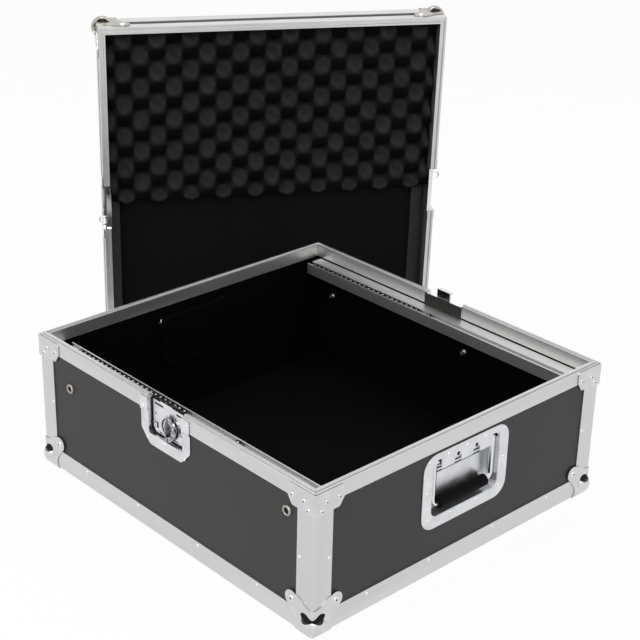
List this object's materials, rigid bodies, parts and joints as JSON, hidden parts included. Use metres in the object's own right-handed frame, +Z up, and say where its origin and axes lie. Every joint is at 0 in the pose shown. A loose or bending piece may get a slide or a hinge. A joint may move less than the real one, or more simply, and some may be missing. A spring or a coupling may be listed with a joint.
{
  "type": "rack case",
  "caption": "Shallow open rack case with its lift-off lid beside it: aluminium-edged laminate panels, ball corners, slotted rails with sliding nuts, recessed latches and sprung handles.",
  "frame": {"origin": "middle of the floor panel's underside", "axes": "+X across the rack width, towards the right-hand latch; +Y along the depth, towards the back handle; +Z up, out of the base's mouth"},
  "size_m": [0.7345, 0.8023, 0.58],
  "materials": {
    "laminate": "dark laminated plywood, semi-matt",
    "aluminium": "satin extrusion",
    "zinc": "bright zinc plate",
    "nuts": "dark oiled steel",
    "rubber": "matt moulded rubber",
    "foam": "open-cell foam"
  },
  "bodies": {
    "base": {"floor_panel": "laminate", "latch_wall_left": "laminate", "latch_wall_right": "laminate", "handle_wall_front": "laminate", "handle_wall_back": "laminate", "rim_front": "aluminium", "rim_back": "aluminium", "rim_left_front": "aluminium", "rim_left_back": "aluminium", "rim_right_front": "aluminium", "rim_right_back": "aluminium", "upright_angle_left_front": "aluminium", "upright_angle_right_front": "aluminium", "upright_angle_right_back": "aluminium", "upright_angle_left_back": "aluminium", "base_angle_left": "aluminium", "base_angle_right": "aluminium", "base_angle_front": "aluminium", "base_angle_back": "aluminium", "ball_corner_left_front": "zinc", "ball_corner_right_front": "zinc", "ball_corner_right_back": "zinc", "ball_corner_left_back": "zinc", "rim_brace_left_front": "zinc", "rim_brace_right_front": "zinc", "rim_brace_right_back": "zinc", "rim_brace_left_back": "zinc", "rack_rail_left": "aluminium", "rack_rail_right": "aluminium", "latch_dish_left": "zinc", "latch_dish_right": "zinc", "handle_dish_front": "zinc", "handle_dish_back": "zinc"},
    "lid": {"lid_panel": "laminate", "lid_boards": "laminate", "lid_rim_upper": "aluminium", "lid_rim_lower": "aluminium", "lid_edging": "aluminium", "lid_ball_corner_left_front": "zinc", "lid_ball_corner_right_front": "zinc", "lid_ball_corner_right_back": "zinc", "lid_ball_corner_left_back": "zinc", "lid_strike_left": "zinc", "lid_strike_right": "zinc", "lid_foam": "foam", "lid_lining": "foam"},
    "left_latch_handle": {"latch_handle_left": "zinc"},
    "right_latch_handle": {"latch_handle_right": "zinc"},
    "left_latch_arm": {"latch_arm_left": "zinc"},
    "right_latch_arm": {"latch_arm_right": "zinc"},
    "front_handle": {"handle_bail_front": "zinc", "handle_grip_front": "rubber"},
    "back_handle": {"handle_bail_back": "zinc", "handle_grip_back": "rubber"},
    "left_nut_row": {"nut_row_left": "nuts"},
    "right_nut_row": {"nut_row_right": "nuts"},
    "left_loose_nut": {"loose_nut_left": "nuts"},
    "right_loose_nut": {"loose_nut_right": "nuts"}
  },
  "joints": [
    {"name": "lid_lift", "type": "slide", "parent": "base", "child": "lid", "axis": [0, 0, 1], "range_m": [0, 0.25]},
    {"name": "left_latch_turn", "type": "hinge", "parent": "base", "child": "left_latch_handle", "pos_m": [-0.2677, 0, 0.1695], "axis": [-1, 0, 0], "range_deg": [0, 190]},
    {"name": "right_latch_turn", "type": "hinge", "parent": "base", "child": "right_latch_handle", "pos_m": [0.2677, 0, 0.1695], "axis": [1, 0, 0], "range_deg": [-190, 0]},
    {"name": "left_arm_slide", "type": "slide", "parent": "base", "child": "left_latch_arm", "axis": [0, 0, 1], "range_m": [0, 0.0112]},
    {"name": "right_arm_slide", "type": "slide", "parent": "base", "child": "right_latch_arm", "axis": [0, 0, 1], "range_m": [-0.0112, 0]},
    {"name": "front_handle_swing", "type": "hinge", "parent": "base", "child": "front_handle", "pos_m": [0, -0.28065, 0.1626], "axis": [-1, 0, 0], "range_deg": [0, 90], "stiffness_Nm_per_rad": 0.25, "springref_deg": -34.38},
    {"name": "back_handle_swing", "type": "hinge", "parent": "base", "child": "back_handle", "pos_m": [0, 0.28065, 0.1626], "axis": [1, 0, 0], "range_deg": [0, 90], "stiffness_Nm_per_rad": 0.25, "springref_deg": -34.38},
    {"name": "left_nuts_slide", "type": "slide", "parent": "base", "child": "left_nut_row", "axis": [0, 1, 0], "range_m": [0, 0.022]},
    {"name": "right_nuts_slide", "type": "slide", "parent": "base", "child": "right_nut_row", "axis": [0, 1, 0], "range_m": [0, 0.006]},
    {"name": "left_loose_nut_slide", "type": "slide", "parent": "base", "child": "left_loose_nut", "axis": [0, 1, 0], "range_m": [-0.155, 0.09]},
    {"name": "right_loose_nut_slide", "type": "slide", "parent": "base", "child": "right_loose_nut", "axis": [0, 1, 0], "range_m": [-0.26, 0.012]}
  ],
  "couplings": [
    {"joint": "left_latch_turn", "follows": "left_arm_slide", "rad_per_m": 280.5},
    {"joint": "right_latch_turn", "follows": "right_arm_slide", "rad_per_m": 280.5}
  ]
}
